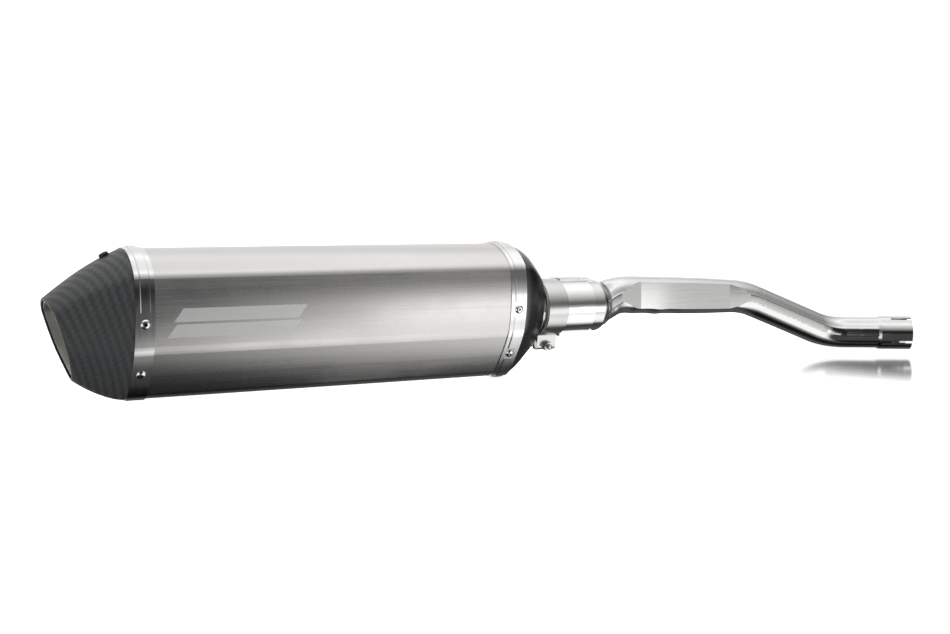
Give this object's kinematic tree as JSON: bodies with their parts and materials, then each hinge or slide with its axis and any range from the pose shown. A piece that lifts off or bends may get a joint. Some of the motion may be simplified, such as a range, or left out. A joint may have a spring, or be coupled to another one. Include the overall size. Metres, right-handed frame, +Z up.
{
  "type": "motorcycle exhaust muffler",
  "caption": "Slip-on exhaust muffler: shield-section metal can with a slant-cut tail tip, cone inlet, band clamp and a bent link pipe with a slotted socket.",
  "frame": {"origin": "centre of the link pipe's socket mouth, where the collector goes in", "axes": "+X along the can from the tail towards the engine, +Z up as fitted, can upright"},
  "size_m": [0.9199, 0.1107, 0.1306],
  "materials": {
    "titanium_skin": "titanium, brushed along the can",
    "polished_stainless": "polished",
    "satin_stainless": "satin",
    "dark_cap": "dark satin",
    "link_stainless": "polished tube",
    "weld_metal": "rippled weld",
    "carbon": "matt woven carbon fibre laminate",
    "black_screw": "black oxide",
    "rivet_metal": "bright",
    "zinc": "plated",
    "graphite": "pressed graphite and wire gasket",
    "glass_wool": "fibre packing"
  },
  "bodies": {
    "link_pipe": {"link_tube": "link_stainless", "tube_weld": "weld_metal", "spigot": "link_stainless", "spigot_collar": "polished_stainless"},
    "gasket": {"sleeve_gasket": "graphite"},
    "muffler": {"outer_sleeve": "titanium_skin", "front_band": "polished_stainless", "rear_band": "polished_stainless", "front_rivets": "rivet_metal", "rear_rivets": "rivet_metal", "front_cap": "dark_cap", "inlet_stub": "satin_stainless", "stub_weld": "weld_metal", "perforated_core": "satin_stainless", "packing": "glass_wool", "rear_cap": "satin_stainless", "tail_liner": "satin_stainless", "carbon_tip": "carbon", "tip_screw": "black_screw", "tip_nut": "zinc"},
    "clamp": {"clamp_band": "satin_stainless", "clamp_t_bolt": "zinc", "clamp_trunnion": "zinc"},
    "washer": {"clamp_washer": "zinc"},
    "nut": {"clamp_nut": "zinc"}
  },
  "joints": [
    {"name": "muffler_clocking", "type": "hinge", "parent": "link_pipe", "child": "gasket", "pos_m": [-0.4474, 0.048, 0.0404], "axis": [1, 0, 0], "continuous": true},
    {"name": "muffler_pull_off", "type": "slide", "parent": "gasket", "child": "muffler", "axis": [-1, 0, 0], "range_m": [0, 0.05]},
    {"name": "clamp_turn", "type": "hinge", "parent": "muffler", "child": "clamp", "pos_m": [-0.4394, 0.048, 0.0404], "axis": [1, 0, 0], "continuous": true},
    {"name": "washer_slide", "type": "slide", "parent": "clamp", "child": "washer", "axis": [0, -0.9903, -0.1392], "range_m": [0, 0.004]},
    {"name": "nut_turn", "type": "hinge", "parent": "washer", "child": "nut", "pos_m": [-0.4394, 0.05308, 0.00426], "axis": [0, -0.9903, -0.1392], "range_deg": [0, 1800]}
  ],
  "couplings": [
    {"joint": "nut_turn", "follows": "washer_slide", "rad_per_m": 7854}
  ]
}
